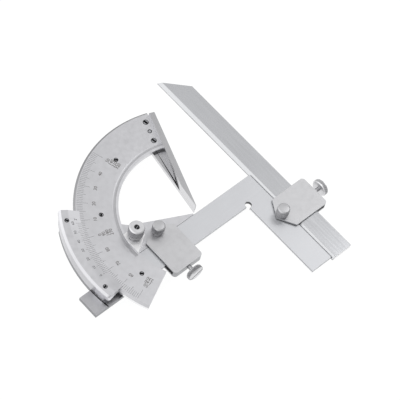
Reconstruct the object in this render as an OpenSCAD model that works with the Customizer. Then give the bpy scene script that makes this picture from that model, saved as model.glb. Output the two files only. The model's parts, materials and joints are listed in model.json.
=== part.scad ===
// Universal bevel protractor with a 0 to 320 degree scale, a vernier, a square and a straight rule.
// Origin on the turning axis, level with the front face of the main scale. +X runs along the long
// limb of the square, +Y along the straight rule to its pointed end, +Z out of the scale's face.

/* [Main scale] */
// Outer radius of the main scale
scale_r_out = 70; // [68:0.5:72]
// Radius of the bore of the main scale
scale_r_in = 44.5; // [44:0.25:45]
// Thickness of the main scale
scale_t = 3; // [2.6:0.1:3.4]
// Angle from the measuring face of the base rule to the far end of the main scale
scale_span = 136; // [133:0.5:140]
// Width of the bevel round the outer rim
rim_bevel = 1.2; // [0.6:0.1:1.6]
// Width of the flat rim round the bore, on which the brake shoe presses
bore_rim_w = 1.5; // [1:0.1:2]
// Width of the shallow groove beside that rim
groove_w = 2; // [1:0.1:2.5]
// Depth of that groove
groove_depth = 0.45; // [0.2:0.05:0.8]
// Angle from the measuring face of the base rule to the end of the groove
groove_span = 112.7; // [100:0.1:125]
// Angle that is read at rest, between the base rule and the square's long limb
rest_angle = 69.333; // [60:0.1:80]

/* [Base rule] */
// Distance from the rim of the scale to the outer end of the raised fence
fence_inset = 2.7; // [1:0.1:4]
// Thickness of the fence behind its measuring face
fence_w = 3.4; // [2.8:0.1:4]
// Height of the fence above the scale's face
fence_rise = 2.6; // [1.5:0.1:4]
// Distance from the rim of the scale to the outer end of the foot under it
foot_inset = 4.4; // [4:0.1:7]
// Thickness of the foot and web
web_t = 2.4; // [1.8:0.1:2.5]
// Angle between the measuring face and the free edge of the web
web_angle = 11.9; // [11:0.1:13]
// Distance from the axis to the tip of the base rule
tip_r = 1.5; // [1:0.1:3]
// Distance of the foot's screws from the measuring face
foot_screw_offset = 6.5; // [6:0.1:7]

/* [Gears] */
// Module of the gear segment and the pinion
gear_module = 0.7; // [0.66:0.01:0.72]
// Teeth that a full circle of the segment would have
gear_teeth = 170; // [166:1:172]
// Teeth of the pinion
pinion_teeth = 14; // [14:1:16]
// Thickness of the gear segment
gear_t = 2.5; // [2:0.1:2.6]
// First angle of the segment, from the measuring face
gear_from = 30; // [26:0.5:31]
// Last angle of the segment, from the measuring face
gear_to = 130; // [128:0.5:132]
// Width of the segment's ring below its teeth
gear_ring_w = 8.7; // [7:0.1:8.9]
// Direction of the pinion's shaft from the axis
pinion_angle = 174.5; // [170:0.5:178]
// Radius of the pinion's shaft
pinion_shaft_r = 2; // [1.6:0.1:2.4]
// Radius of the fine adjusting knob
adjust_knob_r = 6.5; // [5:0.5:8]
// Height of the fine adjusting knob
adjust_knob_h = 5.6; // [4:0.2:8]

/* [Sector] */
// Thickness of the sector plate
sector_t = 2.6; // [2:0.1:3.2]
// First angle of the sector plate
sector_from = 150; // [148:0.5:152]
// Last angle of the sector plate
sector_to = 189; // [188:0.5:192]
// Distance from the axis to the end of the tail
tail_end = 87; // [84:0.5:95]
// Width of the tail
tail_w = 14; // [10:0.5:16]
// Thickness of the guide plate that carries the datum edge
guide_t = 2.5; // [2.3:0.1:2.7]
// Angle of the guide plate's free edge
guide_from = 154.4; // [153:0.1:156]
// Distance from the axis to the corner in the guide plate's free edge
guide_corner_r = 39.3; // [37:0.1:41]
// Angle at which that edge meets the bore of the scale
guide_to = 152; // [151:0.5:154]
// Distance from the axis to the guide plate's tip
guide_tip = 1.5; // [1:0.1:4]

/* [Vernier] */
// First angle of the vernier plate
vernier_from = 143.6; // [143:0.1:146]
// Last angle of the vernier plate
vernier_to = 189.5; // [188:0.5:192]
// How far the vernier plate reaches over the main scale
vernier_lap = 3.3; // [2.4:0.1:3.4]
// How far the vernier plate reaches past the main scale
vernier_w = 8.7; // [7.6:0.1:9.5]
// Height of the vernier plate above the scale's face
vernier_rise = 2; // [1.5:0.1:3]
// Radial width of the vernier's graduated slope
vernier_slope_w = 6.75; // [5.5:0.05:7]
// Thickness of the vernier plate below the scale's face
vernier_drop = 2.2; // [1.6:0.1:2.4]
// Width of the bevel along the vernier plate's outer edge
vernier_bevel = 1.3; // [0.8:0.1:1.6]

/* [Square and straight rule] */
// Width of the limbs of the square
limb_w = 15; // [12:0.5:16]
// Thickness of the square
square_t = 2.4; // [2.2:0.1:2.4]
// Distance from the axis to the outer edge of the short limb
square_reach = 42.5; // [42.5:0.5:50]
// Distance from the axis to the free end of the long limb
square_tail = 46.5; // [46:0.1:46.8]
// Distance from the datum edge to the end of the short limb
square_drop = 68.7; // [60:0.1:80]
// Radius of the relief in the inner corner of the square
relief_r = 2; // [1:0.1:2.5]
// Length of the straight rule
rule_l = 150; // [145:1:160]
// Width of the straight rule
rule_w = 14.7; // [12:0.1:16]
// Thickness of the straight rule
rule_t = 2.3; // [2.1:0.1:2.3]
// Distance from the datum edge to the pointed end of the straight rule
rule_top = 80; // [75:0.1:85]
// How much shorter the far edge is than the measuring edge at the pointed end
rule_cut = 14.5; // [10:0.5:16]
// Width of the bevel along the measuring edge
rule_bevel_w = 1.95; // [1:0.05:2.5]
// Height of the land left under that bevel
rule_land = 0.7; // [0.4:0.1:1.2]

/* [Clamps] */
// Width of a clamp along the bar
clamp_w = 21; // [18:0.5:22]
// Reach of a clamp's point behind the bar's edge
clamp_point = 8.2; // [7.4:0.1:8.4]
// Reach of a clamp's shoulders behind the bar's edge
clamp_shoulder = 1.9; // [1:0.1:3]
// Distance from the bar's edge to the outside of the end wall
clamp_l = 22.9; // [21.5:0.1:23.5]
// Thickness of a clamp's front and back plates
clamp_plate_t = 1; // [0.8:0.1:1.2]
// Thickness of the end wall
clamp_wall = 2; // [1.5:0.1:2.5]
// Gap between a clamp's front plate and the bar, which holds the leaf spring
spring_gap = 0.5; // [0.4:0.05:0.8]
// Radius of the rounded corners at the end wall
clamp_corner_r = 2.2; // [1.5:0.1:2.6]
// Place of the first clamp along the datum edge
clamp1_at = 26; // [25:0.5:26.5]
// Place of the second clamp along the short limb
clamp2_at = 31.2; // [29:0.1:40]
// Radius of a clamp's knurled screw
clamp_knob_r = 3.85; // [3:0.05:4.2]
// Height of a clamp's knurled screw
clamp_knob_h = 6.6; // [4:0.2:8]
// Distance of a clamp's knurled screw behind the bar's edge
clamp_knob_back = 3.9; // [3.5:0.1:4.2]
// Radius of a thumb screw's head
thumb_r = 5.3; // [4:0.1:5.6]
// Height of a thumb screw's head
thumb_h = 3.3; // [2.5:0.1:4]
// Gap between the end wall and a thumb screw's head
thumb_gap = 3.3; // [1.6:0.1:4]
// Thickness of the pad that the thumb screw pushes on the bar
pad_t = 2.3; // [1.6:0.1:2.8]
// Thickness of a leaf spring
spring_t = 0.2; // [0.15:0.01:0.25]

/* [Brake] */
// Distance of the brake's stud from the axis
brake_r = 40; // [39.5:0.25:40.5]
// Direction of the brake's stud from the axis
brake_angle = 167; // [165:0.5:168]
// Radius of the knurled brake nut
brake_nut_r = 4.75; // [4:0.05:5]
// Height of the knurled brake nut
brake_nut_h = 8.8; // [6:0.1:9.4]
// Radius of the brake's stud
brake_stud_r = 1.5; // [1.2:0.1:1.7]
// Height of the brake shoe's top above the scale's face
shoe_rise = 0.6; // [0.3:0.1:1]

/* [Screws] */
// Radius of the heads of the base rule's screws
foot_screw_r = 1.75; // [1.5:0.05:2]
// Radius of the heads of the gear segment's and vernier's screws
small_screw_r = 1.35; // [1.2:0.05:1.5]
// Radius of the heads of the screws in the back of the sector plate
back_screw_r = 2; // [1.6:0.1:2.2]

/* [Hidden] */
$fn = 96;

// Clearances: running in a bore, sliding along a bar, layer over layer, and round a fixed screw
run_gap = 0.05;
slide_gap = 0.05;
layer_gap = 0.1;
fit_gap = 0.03;
knurl_depth = 0.2;
tooth_gap = 1.4;

// Ridges of the knurled heads
adjust_ridges = 48;
nut_ridges = 44;
thumb_ridges = 40;
knob_ridges = 36;

// Width of the turned bevel on those heads
knob_bevel = 0.6;

// Levels of the stack, from the scale's back face to the back of the sector plate
bar_front = -scale_t - 0.3;
guide_back = bar_front - guide_t;
square_back = bar_front - square_t;
rule_back = bar_front - rule_t;
web_back = -scale_t - web_t;
gear_back = -scale_t - gear_t;
sector_back = guide_back - sector_t;

// Circles round the axis
pitch_r = gear_module * gear_teeth / 2;
pinion_pitch_r = gear_module * pinion_teeth / 2;
addendum = 0.8 * gear_module;
dedendum = 1.1 * gear_module;
backlash = 0.1;
pressure_angle = 20;
gear_ring_r = pitch_r - dedendum - gear_ring_w;
gear_screw_places = [[54.8, 36], [54.6, 76.6], [53.4, 123.2]];
centre_distance = pitch_r + pinion_pitch_r;
pinion_pocket_r = pinion_pitch_r + addendum + 0.45;
scale_side_r = scale_r_out + run_gap;
vernier_r = scale_r_out + vernier_w;
sector_r = vernier_r;
rail_r = pitch_r + addendum + tooth_gap;
rail_from = 153;
guide_block_from = 146.5;
guide_block_to = 187;
vernier_screw_angles = [148.8, 184.6];
vernier_screw_at_r = vernier_r - 3.9;
back_screw_angles = [157, 166, 183];
back_screw_at_r = scale_r_out + 3.4;
fence_end_r = scale_r_out - fence_inset;
foot_end_r = scale_r_out - foot_inset;
foot_screw_along = [fence_end_r - 3.8, scale_r_in + 6];
dowel_along = (foot_screw_along[0] + foot_screw_along[1]) / 2;
dowel_r = 1.3;
brake_at = polar(brake_r, brake_angle);
shoe_corner = [-44.9, -0.8];
groove_r = scale_r_in + bore_rim_w;
guide_screw_points = [[-39.6, 13.9], [-31.6, 12], [-41, 3.4]];

// Outlines of what the clamps and the stud keep clear
clamp1_clear_x = -clamp1_at - clamp_w / 2 - 0.8;
clamp1_clear_y = clamp_point + 0.5;

// Turns its children with the base rule: x runs along the measuring face, y behind it
module on_base_rule() {
    rotate([0, 0, rest_angle]) children();
}

// Puts its children on a circle round the axis
module at_polar(r, a) {
    rotate([0, 0, a]) translate([r, 0, 0]) children();
}

// Point on a circle round the axis
function polar(r, a) = [r * cos(a), r * sin(a)];

// Ring section swept from one angle to another
module swept(from, to) {
    rotate([0, 0, from]) rotate_extrude(angle = to - from, $fn = 360) children();
}

// Countersunk screw pointing down from its flush head, with a driver slot; grow makes its hole
module countersunk(head_r, length, grow = 0, slot_turn = 30) {
    shank_r = head_r * 0.55;
    head_h = head_r - shank_r;
    difference() {
        union() {
            translate([0, 0, -length]) cylinder(r = shank_r + grow, h = length);
            translate([0, 0, -head_h - grow])
                cylinder(r1 = shank_r + grow, r2 = head_r + grow, h = head_h);
            if (grow > 0)
                translate([0, 0, -grow]) cylinder(r = head_r + grow, h = 1);
        }
        if (grow == 0)
            rotate([0, 0, slot_turn])
                translate([-head_r, -head_r * 0.13, -head_h * 0.6])
                    cube([2 * head_r, head_r * 0.26, head_h]);
    }
}

// Outline of straight knurling: ridges round a circle
module knurl_outline(r, ridges) {
    polygon([for (i = [0 : 2 * ridges - 1])
        let (rr = i % 2 == 0 ? r : r - knurl_depth)
        [rr * cos(i * 180 / ridges), rr * sin(i * 180 / ridges)]]);
}

// Knurled head standing on z = 0, with turned bevels at both ends, a little under the knurl's valleys
module knurled_head(r, h, bevel, ridges) {
    core = r - knurl_depth - 0.1;
    translate([0, 0, bevel]) linear_extrude(h - 2 * bevel) knurl_outline(r, ridges);
    cylinder(r1 = core - bevel, r2 = core, h = bevel);
    translate([0, 0, h - bevel]) cylinder(r1 = core, r2 = core - bevel, h = bevel);
}

// Involute gear outline, a tooth centred on +X
function inv(a) = tan(a) - a * PI / 180;
function half_tooth(r, r_pitch, r_base) = let (rr = max(r, r_base + 0.001))
    ((PI * gear_module / 2 - backlash) / 2 / r_pitch + inv(pressure_angle)
        - inv(acos(r_base / rr))) * 180 / PI;
function tooth_points(r_pitch, centre) =
    let (r_base = r_pitch * cos(pressure_angle), lo = r_pitch - dedendum, hi = r_pitch + addendum)
    concat(
        [for (k = [0 : 3]) let (r = lo + (hi - lo) * k / 3, a = half_tooth(r, r_pitch, r_base))
            [r * cos(centre - a), r * sin(centre - a)]],
        [for (k = [3 : -1 : 0]) let (r = lo + (hi - lo) * k / 3, a = half_tooth(r, r_pitch, r_base))
            [r * cos(centre + a), r * sin(centre + a)]]);
function teeth_points(r_pitch, pitch, first, last) =
    [for (i = [first : last]) each tooth_points(r_pitch, i * pitch)];

// Ring plate that carries the degree scale, cut straight where it meets the fence
module main_scale() {
    color([0.76, 0.77, 0.78]) on_base_rule() difference() {
        swept(1, scale_span) polygon([
            [scale_r_in, -scale_t], [scale_r_out, -scale_t], [scale_r_out, -rim_bevel],
            [scale_r_out - rim_bevel, 0], [scale_r_in, 0]]);
        swept(0, groove_span) polygon([
            [groove_r, 1], [groove_r, -groove_depth], [groove_r + groove_w / 2, -groove_depth],
            [groove_r + groove_w, 0], [groove_r + groove_w, 1]]);
        translate([0, fence_w - scale_r_out, -scale_t - 1]) cube([scale_r_out + 1, scale_r_out, scale_t + 2]);
        for (x = foot_screw_along)
            translate([x, foot_screw_offset, 0]) countersunk(foot_screw_r, scale_t + 1, fit_gap);
        translate([dowel_along, foot_screw_offset, -scale_t - 1]) cylinder(r = dowel_r + fit_gap,
            h = scale_t + 2);
        for (p = gear_screw_places)
            at_polar(p[0], p[1]) countersunk(small_screw_r, scale_t + 1, fit_gap);
    }
}

// Wedge-shaped base rule: a tall fence with the measuring face, and a web that runs under the scale
module base_rule() {
    fence_foot = fence_w / tan(web_angle);
    color([0.7, 0.71, 0.72]) on_base_rule() difference() {
        union() {
            translate([0, 0, -scale_t]) linear_extrude(scale_t + fence_rise)
                polygon([[tip_r, 0], [fence_end_r, 0], [fence_end_r, fence_w], [fence_foot, fence_w],
                    [tip_r, tip_r * tan(web_angle)]]);
            translate([0, 0, web_back]) linear_extrude(web_t) intersection() {
                polygon([[tip_r, 0], [foot_end_r, 0], [foot_end_r, foot_end_r * tan(web_angle)],
                    [tip_r, tip_r * tan(web_angle)]]);
                circle(r = foot_end_r, $fn = 360);
            }
        }
        for (x = foot_screw_along)
            translate([x, foot_screw_offset, 0]) countersunk(foot_screw_r, scale_t + web_t + 1, fit_gap);
        translate([dowel_along, foot_screw_offset, web_back - 1])
            cylinder(r = dowel_r + fit_gap, h = scale_t + web_t + 2);
    }
}

// Two countersunk screws that hold the base rule's foot to the scale
module base_rule_screws() {
    color([0.2, 0.2, 0.21]) on_base_rule() for (x = foot_screw_along)
        translate([x, foot_screw_offset, -0.05]) countersunk(foot_screw_r, scale_t + web_t - 0.2);
}

// Dowel between those screws
module base_rule_dowel() {
    color([0.35, 0.35, 0.36]) on_base_rule() translate([dowel_along, foot_screw_offset, web_back + 0.1])
        cylinder(r = dowel_r, h = scale_t + web_t - 0.15);
}

// Toothed segment behind the scale, which the pinion drives
module gear_segment() {
    pitch = 360 / gear_teeth;
    first = ceil((gear_from + rest_angle - pinion_angle) / pitch);
    last = floor((gear_to + rest_angle - pinion_angle) / pitch);
    start = (first - 0.5) * pitch;
    end = (last + 0.5) * pitch;
    r_root = pitch_r - dedendum;
    color([0.6, 0.61, 0.62]) difference() {
        translate([0, 0, gear_back]) rotate([0, 0, pinion_angle]) linear_extrude(gear_t) union() {
            difference() {
                polygon(concat(
                    [[r_root * cos(start), r_root * sin(start)]],
                    teeth_points(pitch_r, pitch, first, last),
                    [[r_root * cos(end), r_root * sin(end)]],
                    [[0, 0]]));
                circle(r = gear_ring_r, $fn = 360);
            }
        }
        on_base_rule() for (p = gear_screw_places)
            at_polar(p[0], p[1]) countersunk(small_screw_r, scale_t + gear_t + 1, fit_gap);
    }
}

// Three countersunk screws that hold the gear segment, put in from the scale's face
module gear_segment_screws() {
    color([0.1, 0.1, 0.11]) on_base_rule() for (p = gear_screw_places)
        at_polar(p[0], p[1]) translate([0, 0, -0.05])
            countersunk(small_screw_r, scale_t + gear_t - 0.2, 0, p[1]);
}

// Back plate of the sector: a fan under the scale and the vernier, with a straight tail
module sector_plate() {
    reach = 2 * sector_r;
    color([0.66, 0.67, 0.69]) difference() {
        translate([0, 0, sector_back]) linear_extrude(sector_t) union() {
            difference() {
                intersection() {
                    circle(r = sector_r, $fn = 360);
                    polygon([[0, 0], polar(reach, sector_from), [-reach, 0], polar(reach, sector_to)]);
                }
                translate([clamp1_clear_x, -reach]) square([reach, reach + clamp1_clear_y]);
                intersection() {
                    circle(r = scale_r_in, $fn = 360);
                    polygon([[0, 0], polar(guide_corner_r, guide_from), polar(scale_r_in, guide_to), [0,
                        reach]]);
                }
            }
            translate([-tail_end, -tail_w]) square([tail_end - scale_r_in - 5, tail_w]);
        }
        at_polar(centre_distance, pinion_angle) translate([0, 0, sector_back - 1])
            cylinder(r = pinion_shaft_r + 1.2 + fit_gap, h = sector_t + 2);
        for (p = guide_screw_points)
            translate([p[0], p[1], sector_back]) mirror([0, 0, 1]) countersunk(back_screw_r,
                sector_t + 1, fit_gap);
        for (a = back_screw_angles)
            at_polar(back_screw_at_r, a) translate([0, 0, sector_back]) mirror([0, 0, 1])
                countersunk(back_screw_r, sector_t + 1, fit_gap);
        translate([brake_at[0], brake_at[1], sector_back]) brake_stud_shape(fit_gap);
    }
}

// Plate in front of the fan: its straight edge is the datum, its round edge follows the scale's bore
module guide_plate() {
    r = scale_r_in - run_gap;
    color([0.74, 0.75, 0.76]) difference() {
        translate([0, 0, guide_back]) linear_extrude(guide_t) intersection() {
            circle(r = r, $fn = 360);
            polygon([[-guide_tip, slide_gap], [-guide_tip, guide_tip * tan(180 - guide_from) + slide_gap],
                polar(guide_corner_r, guide_from), polar(scale_r_in, guide_to), polar(2 * r, guide_to),
                [-2 * r, slide_gap]]);
        }
        translate([-clamp1_at, clamp_knob_back, guide_back - 1]) cylinder(r = 1.5, h = guide_t + 2);
        translate([brake_at[0], brake_at[1], guide_back - 1])
            cylinder(r = brake_stud_r + fit_gap, h = guide_t + 2);
        for (p = guide_screw_points)
            translate([p[0], p[1], sector_back]) mirror([0, 0, 1])
                countersunk(back_screw_r, sector_t + guide_t - 0.3, fit_gap);
    }
}

// Three screws that hold the guide plate, put in from the back
module guide_plate_screws() {
    color([0.3, 0.3, 0.31]) for (p = guide_screw_points)
        translate([p[0], p[1], sector_back + 0.05]) mirror([0, 0, 1])
            countersunk(back_screw_r, sector_t + guide_t - 0.5, 0, 10 * p[1]);
}

// Curved block between the sector plate and the vernier, with the rail that carries the scale's rim
module vernier_base() {
    color([0.6, 0.61, 0.62]) difference() {
        union() {
            swept(guide_block_from, guide_block_to) polygon([
                [scale_side_r, guide_back], [vernier_r, guide_back],
                [vernier_r, -vernier_drop], [scale_side_r, -vernier_drop]]);
            swept(rail_from, guide_block_to) polygon([
                [rail_r, guide_back], [scale_side_r + 0.5, guide_back],
                [scale_side_r + 0.5, -scale_t - run_gap], [rail_r, -scale_t - run_gap]]);
        }
        at_polar(centre_distance, pinion_angle) translate([0, 0, guide_back - 1])
            cylinder(r = pinion_pocket_r, h = guide_t + 3);
        for (a = vernier_screw_angles)
            at_polar(vernier_screw_at_r, a) translate([0, 0, vernier_rise])
                countersunk(small_screw_r, vernier_rise + vernier_drop + 2.2, fit_gap);
        for (a = back_screw_angles)
            at_polar(back_screw_at_r, a) translate([0, 0, sector_back]) mirror([0, 0, 1])
                countersunk(back_screw_r, sector_t + 2.2, fit_gap);
    }
}

// Three screws that hold the vernier's block, put in from the back
module vernier_base_screws() {
    color([0.3, 0.3, 0.31]) for (a = back_screw_angles)
        at_polar(back_screw_at_r, a) translate([0, 0, sector_back + 0.05]) mirror([0, 0, 1])
            countersunk(back_screw_r, sector_t + 2, 0, 3 * a);
}

// Curved vernier plate: its graduated slope laps over the rim of the scale
module vernier_plate() {
    inner = scale_r_out - vernier_lap;
    color([0.8, 0.81, 0.81]) difference() {
        swept(vernier_from, vernier_to) polygon([
            [inner, layer_gap], [inner, layer_gap + 0.15], [inner + vernier_slope_w, vernier_rise],
            [vernier_r - vernier_bevel, vernier_rise], [vernier_r, vernier_rise - vernier_bevel],
            [vernier_r, -vernier_drop], [scale_side_r, -vernier_drop], [scale_side_r, layer_gap]]);
        for (a = vernier_screw_angles)
            at_polar(vernier_screw_at_r, a) translate([0, 0, vernier_rise])
                countersunk(small_screw_r, vernier_rise + vernier_drop + 1, fit_gap);
    }
}

// Two screws that hold the vernier plate on its block
module vernier_screws() {
    color([0.1, 0.1, 0.11]) for (a = vernier_screw_angles)
        at_polar(vernier_screw_at_r, a) translate([0, 0, vernier_rise - 0.05])
            countersunk(small_screw_r, vernier_rise + vernier_drop + 2, 0, a);
}

// Flanged bush in the sector plate, in which the pinion's shaft turns
module pinion_bush() {
    r = pinion_shaft_r + 1.2;
    color([0.72, 0.6, 0.35]) at_polar(centre_distance, pinion_angle) difference() {
        translate([0, 0, sector_back - 0.8]) union() {
            cylinder(r = r, h = sector_t + 0.8);
            cylinder(r = r + 1.6, h = 0.8);
        }
        translate([0, 0, sector_back - 2]) cylinder(r = pinion_shaft_r + run_gap, h = sector_t + 4);
    }
}

// Pinion and its shaft, in mesh with the segment
module pinion() {
    top = -scale_t - 0.3;
    pitch = 360 / pinion_teeth;
    color([0.68, 0.69, 0.7]) at_polar(centre_distance, pinion_angle) difference() {
        union() {
            translate([0, 0, guide_back + layer_gap]) linear_extrude(top - guide_back - layer_gap)
                rotate([0, 0, 180 + pitch / 2])
                    polygon(teeth_points(pinion_pitch_r, pitch, 0, pinion_teeth - 1));
            translate([0, 0, sector_back - 1.2 - adjust_knob_h])
                cylinder(r = pinion_shaft_r, h = sector_t + 1.2 + adjust_knob_h + 1);
        }
        translate([0, 0, sector_back - 1.3 - adjust_knob_h]) cylinder(r = 0.85, h = 4);
    }
}

// Knurled fine adjusting knob on the pinion's shaft, behind the sector plate
module pinion_knob() {
    color([0.72, 0.73, 0.74]) at_polar(centre_distance, pinion_angle)
        translate([0, 0, sector_back - 1.2 - adjust_knob_h]) difference() {
            knurled_head(adjust_knob_r, adjust_knob_h, knob_bevel, adjust_ridges);
            translate([0, 0, -1]) cylinder(r = pinion_shaft_r + fit_gap, h = adjust_knob_h + 2);
        }
}

// Slotted screw that keeps the knob on the shaft
module pinion_knob_screw() {
    color([0.2, 0.2, 0.21]) at_polar(centre_distance, pinion_angle)
        translate([0, 0, sector_back - 1.2 - adjust_knob_h]) difference() {
            union() {
                translate([0, 0, -1]) cylinder(r = pinion_shaft_r + 0.9, h = 1);
                cylinder(r = 0.82, h = 3.4);
            }
            translate([-4, -0.3, -1.5]) cube([8, 0.6, 1]);
        }
}

// Stud of the brake, with a countersunk head at the back; grow makes its hole
module brake_stud_shape(grow = 0) {
    head_r = brake_stud_r + 1.1;
    translate([0, 0, 0.05]) cylinder(r1 = head_r + grow, r2 = brake_stud_r + grow, h = 1.1);
    cylinder(r = brake_stud_r + grow, h = -sector_back + shoe_rise + brake_nut_h - 0.2);
    if (grow > 0)
        translate([0, 0, -1]) cylinder(r = head_r + grow, h = 1.06);
}

// Threaded stud that stands in the guide plate, with a driver slot in its end
module brake_stud() {
    color([0.08, 0.08, 0.09]) translate([brake_at[0], brake_at[1], sector_back]) difference() {
        brake_stud_shape();
        translate([0, 0, -sector_back + shoe_rise + brake_nut_h - 0.8]) rotate([0, 0, 20])
            translate([-3, -0.25, 0]) cube([6, 0.5, 1]);
    }
}

// Brake shoe: a thick foot that fills the scale's bore beside the stud, and a lip over the flat rim
module brake_shoe() {
    lip_r = groove_r - run_gap;
    far_y = brake_at[1] + 4.2;
    near_x = brake_at[0] + 4.6;
    outline = [shoe_corner, [near_x, brake_at[1] - 3.2], [near_x, brake_at[1] + 1],
        [brake_at[0] + 2.4, far_y], [shoe_corner[0], far_y]];
    color([0.78, 0.79, 0.8]) difference() {
        union() {
            translate([0, 0, run_gap]) linear_extrude(shoe_rise - run_gap) intersection() {
                polygon(outline);
                circle(r = lip_r, $fn = 360);
            }
            translate([0, 0, bar_front + run_gap]) linear_extrude(shoe_rise - bar_front - run_gap)
                intersection() {
                    polygon(outline);
                    circle(r = scale_r_in - 2 * run_gap, $fn = 360);
                }
        }
        translate([brake_at[0], brake_at[1], bar_front - 1])
            cylinder(r = brake_stud_r + run_gap, h = shoe_rise - bar_front + 2);
    }
}

// Knurled nut that presses the shoe on the rim
module brake_nut() {
    neck_h = 1;
    color([0.82, 0.82, 0.82]) translate([brake_at[0], brake_at[1], shoe_rise + run_gap]) difference() {
        union() {
            cylinder(r = brake_nut_r - 1.3, h = neck_h + 0.5);
            translate([0, 0, neck_h])
                knurled_head(brake_nut_r, brake_nut_h - neck_h - run_gap, knob_bevel, nut_ridges);
        }
        translate([0, 0, -1]) cylinder(r = brake_stud_r + run_gap, h = brake_nut_h + 2);
    }
}

// Places a clamp's own frame: u runs across the bar from its near edge, v along the bar
module at_clamp(number) {
    if (number == 1) translate([-clamp1_at, 0, 0]) rotate([0, 0, -90]) children();
    else translate([square_reach + slide_gap, -clamp2_at, 0]) children();
}

// Five-sided outline of a clamp with two rounded corners
module clamp_outline() {
    half = clamp_w / 2;
    c = clamp_corner_r;
    polygon([[-clamp_point, 0], [-clamp_shoulder, -half], [clamp_l - c, -half], [clamp_l, -half + c],
        [clamp_l, half - c], [clamp_l - c, half], [-clamp_shoulder, half]]);
    for (s = [-1, 1]) translate([clamp_l - c, s * (half - c)]) circle(r = c);
}

// Level of the back plate of a clamp's channel: on the back of what the clamp is fixed to
function clamp_floor(number) = number == 1 ? guide_back : square_back;
function clamp_screw_z(number) = (clamp_floor(number) + bar_front + spring_gap) / 2;

// Clamp body: front plate, back plate and end wall, bent from one strip
module clamp_body(number) {
    floor_z = clamp_floor(number);
    top_z = bar_front + spring_gap + clamp_plate_t;
    color([0.7, 0.71, 0.72]) at_clamp(number) difference() {
        union() {
            translate([0, 0, top_z - clamp_plate_t]) linear_extrude(clamp_plate_t) clamp_outline();
            translate([0, 0, floor_z - clamp_plate_t]) linear_extrude(clamp_plate_t) clamp_outline();
            translate([0, 0, floor_z - clamp_plate_t])
                linear_extrude(top_z - floor_z + clamp_plate_t) intersection() {
                    clamp_outline();
                    translate([clamp_l - clamp_wall, -clamp_w]) square([clamp_wall + 1, 2 * clamp_w]);
                }
        }
        translate([-clamp_knob_back, 0, floor_z - clamp_plate_t - 1]) cylinder(r = 1.5, h = 12);
        translate([clamp_l - clamp_wall - 1, 0, clamp_screw_z(number)]) rotate([0, 90, 0])
            cylinder(r = 1.3, h = clamp_wall + 2);
    }
}

// Bowed leaf spring between the front plate and the bar
module clamp_leaf_spring(number) {
    half = clamp_w / 2 - 2.5;
    bow = spring_gap - spring_t - 0.04;
    steps = 8;
    top = bar_front + spring_gap - 0.02;
    color([0.5, 0.5, 0.52]) at_clamp(number) translate([3, 0, 0]) rotate([90, 0, 90])
        linear_extrude(limb_w - 6) polygon(concat(
            [for (i = [-steps : steps]) [half * i / steps, top - bow * pow(i / steps, 2)]],
            [for (i = [steps : -1 : -steps]) [half * i / steps, top - spring_t - bow * pow(i / steps, 2)]]));
}

// Knurled screw that squeezes the clamp on the plate it is fixed to
module clamp_knob_screw(number) {
    neck_h = 0.7;
    top_z = bar_front + spring_gap + clamp_plate_t;
    floor_z = clamp_floor(number);
    color([0.72, 0.72, 0.73]) at_clamp(number) translate([-clamp_knob_back, 0, 0]) {
        translate([0, 0, top_z + run_gap]) {
            cylinder(r = clamp_knob_r - 0.7, h = neck_h + 0.5);
            translate([0, 0, neck_h]) knurled_head(clamp_knob_r, clamp_knob_h - neck_h, knob_bevel,
                knob_ridges);
        }
        translate([0, 0, floor_z - clamp_plate_t]) cylinder(r = 1.45,
            h = top_z - floor_z + clamp_plate_t + 1);
    }
}

// Pad that the thumb screw pushes on the far edge of the bar
module clamp_pad(number) {
    bar_w = number == 1 ? limb_w : rule_w;
    floor_z = clamp_floor(number);
    color([0.4, 0.4, 0.42]) at_clamp(number)
        translate([bar_w + slide_gap, -clamp_w / 2 + 4, floor_z + layer_gap])
            cube([pad_t, clamp_w - 8, bar_front + spring_gap - floor_z - 2 * layer_gap]);
}

// Thumb screw through the end wall, with a knurled head and a coin slot
module clamp_thumb_screw(number) {
    bar_w = number == 1 ? limb_w : rule_w;
    shank_from = bar_w + slide_gap + pad_t;
    head_from = clamp_l + thumb_gap;
    color([0.75, 0.75, 0.75]) at_clamp(number) translate([0, 0, clamp_screw_z(number)]) rotate([0, 90, 0])
        difference() {
            union() {
                translate([0, 0, shank_from]) cylinder(r = 1.25, h = head_from - shank_from + 1);
                translate([0, 0, head_from]) knurled_head(thumb_r, thumb_h, knob_bevel, thumb_ridges);
            }
            rotate([0, 0, 25]) translate([-thumb_r - 1, -0.4, head_from + thumb_h - 1])
                cube([2 * thumb_r + 2, 0.8, 2]);
        }
}

module clamp1_body() { clamp_body(1); }
module clamp1_leaf_spring() { clamp_leaf_spring(1); }
module clamp1_knob_screw() { clamp_knob_screw(1); }
module clamp1_pad() { clamp_pad(1); }
module clamp1_thumb_screw() { clamp_thumb_screw(1); }
module clamp2_body() { clamp_body(2); }
module clamp2_leaf_spring() { clamp_leaf_spring(2); }
module clamp2_knob_screw() { clamp_knob_screw(2); }
module clamp2_pad() { clamp_pad(2); }
module clamp2_thumb_screw() { clamp_thumb_screw(2); }

// Square: its long limb lies along the datum edge, its short limb carries the second clamp
module square_arm() {
    color([0.72, 0.73, 0.74]) difference() {
        translate([0, 0, square_back]) linear_extrude(square_t) difference() {
            polygon([[-square_tail, 0], [square_reach, 0], [square_reach, -square_drop],
                [square_reach - limb_w, -square_drop], [square_reach - limb_w, -limb_w],
                [-square_tail, -limb_w]]);
            translate([square_reach - limb_w + 0.3 * relief_r, -limb_w + 0.3 * relief_r])
                circle(r = relief_r);
        }
        at_clamp(2) translate([-clamp_knob_back, 0, square_back - 1]) cylinder(r = 1.5, h = square_t + 2);
    }
}

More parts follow.
